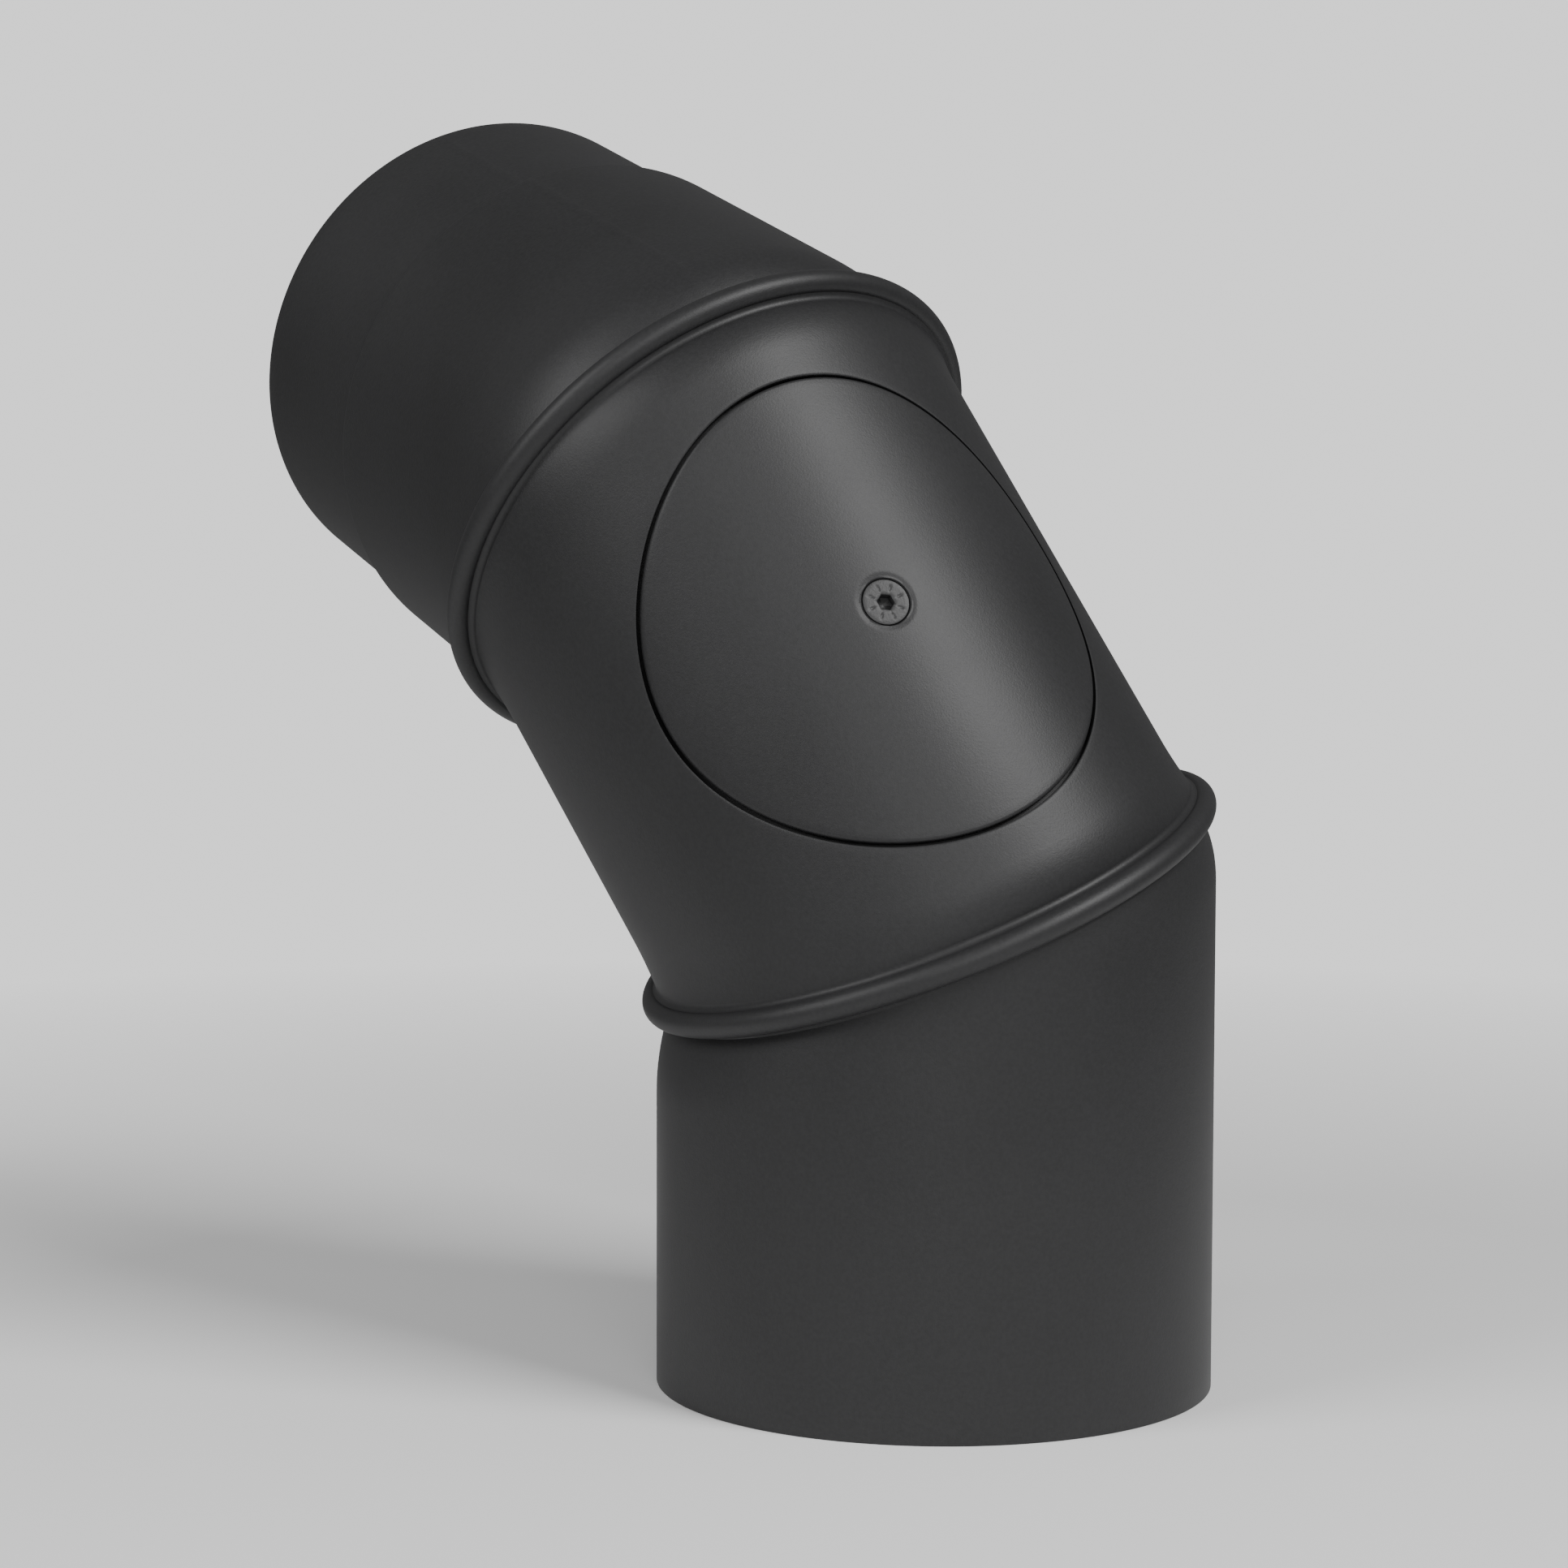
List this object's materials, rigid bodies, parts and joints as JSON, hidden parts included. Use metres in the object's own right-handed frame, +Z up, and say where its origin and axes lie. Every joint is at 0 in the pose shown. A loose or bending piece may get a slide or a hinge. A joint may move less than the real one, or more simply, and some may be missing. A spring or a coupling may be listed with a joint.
{
  "type": "swivelling flue elbow with inspection cover",
  "caption": "Segmented steel flue elbow with mitred swivel joints, a reduced spigot end and a flush oval inspection cover held by a countersunk screw.",
  "frame": {"origin": "centre of the lower segment's bottom rim, which it stands on", "axes": "+Z up the lower segment's axis, from its socket mouth into the tube; -X is the side that the lower joint's normal leans to"},
  "size_m": [0.2266, 0.2897, 0.3597],
  "materials": {
    "painted_steel": "matte heat-resistant charcoal paint",
    "inner_steel": "matte paint, thinner inside the tube",
    "screw_steel": "black oxide with a light satin sheen",
    "plain_steel": "zinc plated, dull",
    "fibre_gasket": "pressed ceramic fibre"
  },
  "bodies": {
    "lower": {"lower_segment": "painted_steel"},
    "middle": {"middle_segment": "painted_steel", "seat_ring": "inner_steel"},
    "upper": {"upper_segment": "painted_steel"},
    "cover": {"inspection_cover": "painted_steel", "cover_gasket": "fibre_gasket"},
    "screw": {"cover_screw": "screw_steel", "screw_retainer": "plain_steel"},
    "bar": {"clamp_bar": "plain_steel", "clamp_nut": "plain_steel"}
  },
  "joints": [
    {"name": "lower_swivel", "type": "hinge", "parent": "lower", "child": "middle", "pos_m": [-0.00185, 0, 0.13264], "axis": [-0.3827, 0, 0.9239], "continuous": true},
    {"name": "upper_swivel", "type": "hinge", "parent": "middle", "child": "upper", "pos_m": [-0.04956, 0.04926, 0.24174], "axis": [-0.3014, 0.7063, 0.6405], "continuous": true},
    {"name": "cover_lift", "type": "slide", "parent": "middle", "child": "cover", "axis": [-0.1062, -0.9229, 0.3702], "range_m": [0, 0.08]},
    {"name": "screw_turn", "type": "hinge", "parent": "cover", "child": "screw", "pos_m": [-0.03431, -0.04727, 0.21683], "axis": [-0.1062, -0.9229, 0.3702], "range_deg": [0, 1440]},
    {"name": "bar_travel", "type": "slide", "parent": "middle", "child": "bar", "axis": [0.1062, 0.9229, -0.3702], "range_m": [0, 0.004]}
  ],
  "couplings": [
    {"joint": "screw_turn", "follows": "bar_travel", "rad_per_m": 6283.2}
  ]
}
